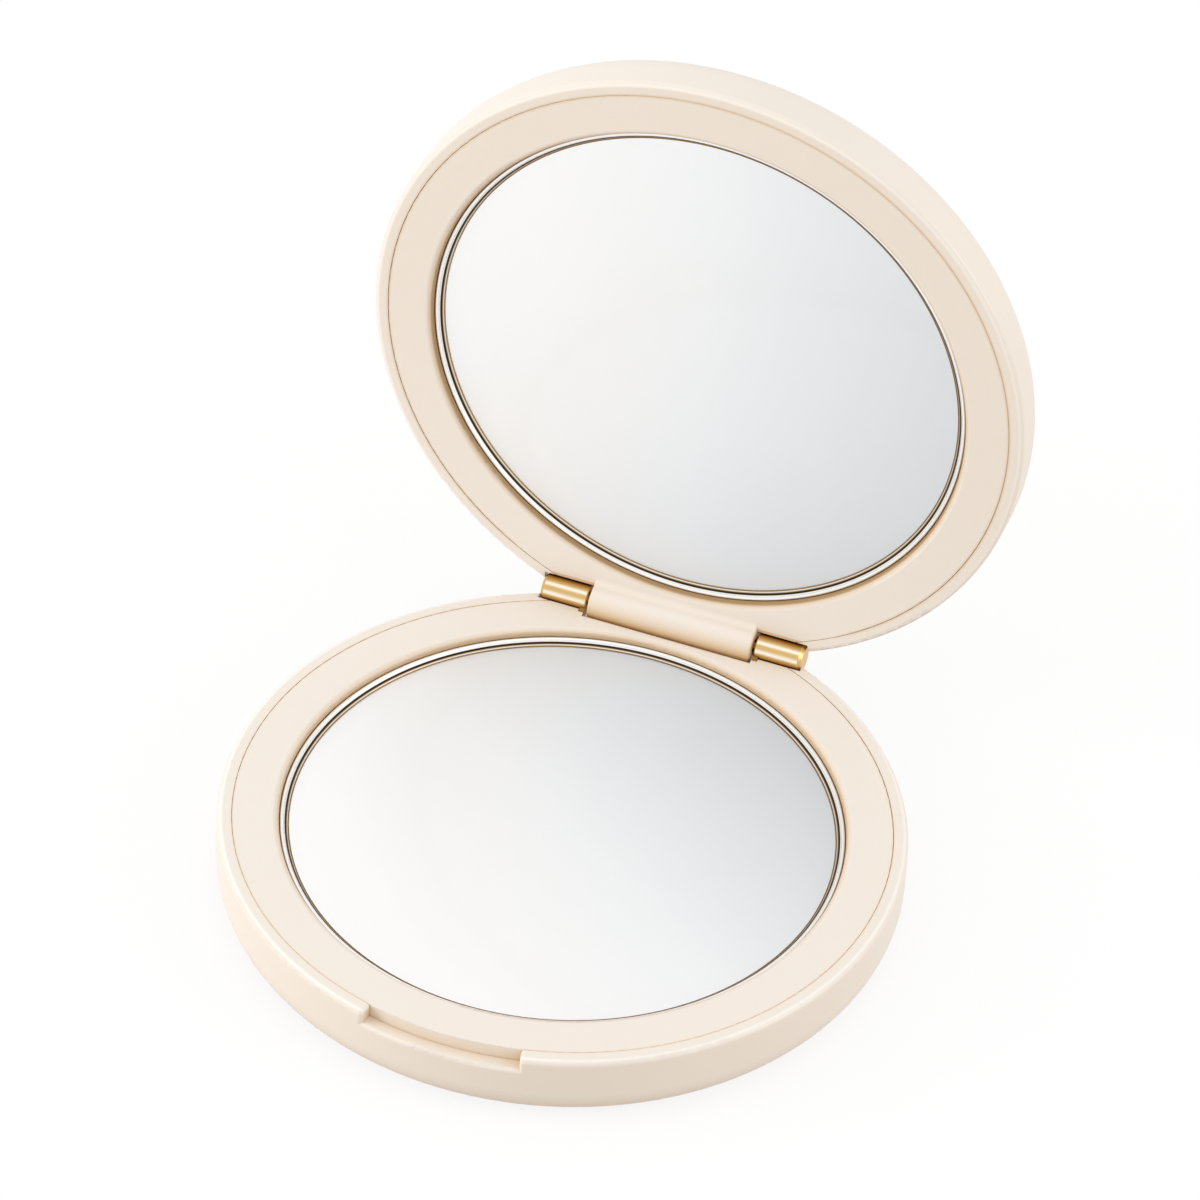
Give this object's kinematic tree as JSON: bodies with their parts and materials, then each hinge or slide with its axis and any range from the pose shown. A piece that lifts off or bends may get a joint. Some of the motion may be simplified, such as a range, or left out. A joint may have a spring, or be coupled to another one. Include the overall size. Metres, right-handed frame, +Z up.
{
  "type": "compact mirror",
  "caption": "Round pocket mirror in cream plastic that opens like a book on a metal hinge, with a framed mirror in the base and in the lid and a thumb notch at the front.",
  "frame": {"origin": "centre of the base's underside, on the surface that it stands on", "axes": "+Z up, +Y towards the hinge, +X along the hinge line; the thumb notch is at -Y"},
  "size_m": [0.07, 0.0765, 0.0756],
  "materials": {
    "cream_shell": "satin moulded",
    "cream_bezel": "satin moulded",
    "trim_ring": "polished",
    "mirror_glass": "silvered glass",
    "mirror_tape": "foam tape",
    "magnet": "nickel plated",
    "gold_knuckle": "satin plated",
    "hinge_pin": "plated",
    "small_steel": "bright"
  },
  "bodies": {
    "base": {"base_shell": "cream_shell", "base_bezel": "cream_bezel", "base_mirror_ring": "trim_ring", "base_mirror_glass": "mirror_glass", "base_mirror_tape": "mirror_tape", "base_magnets": "magnet", "hinge_knuckle_left": "gold_knuckle", "hinge_knuckle_right": "gold_knuckle", "hinge_leg_screws": "small_steel", "hinge_pin": "hinge_pin"},
    "lid": {"lid_shell": "cream_shell", "lid_bezel": "cream_bezel", "lid_mirror_ring": "trim_ring", "lid_mirror_glass": "mirror_glass", "lid_mirror_tape": "mirror_tape", "lid_magnets": "magnet", "hinge_friction_sleeves": "small_steel"}
  },
  "joints": [
    {"name": "lid_hinge", "type": "hinge", "parent": "base", "child": "lid", "pos_m": [0, 0.0325, 0.00815], "axis": [-1, 0, 0], "range_deg": [-92, 88]}
  ]
}
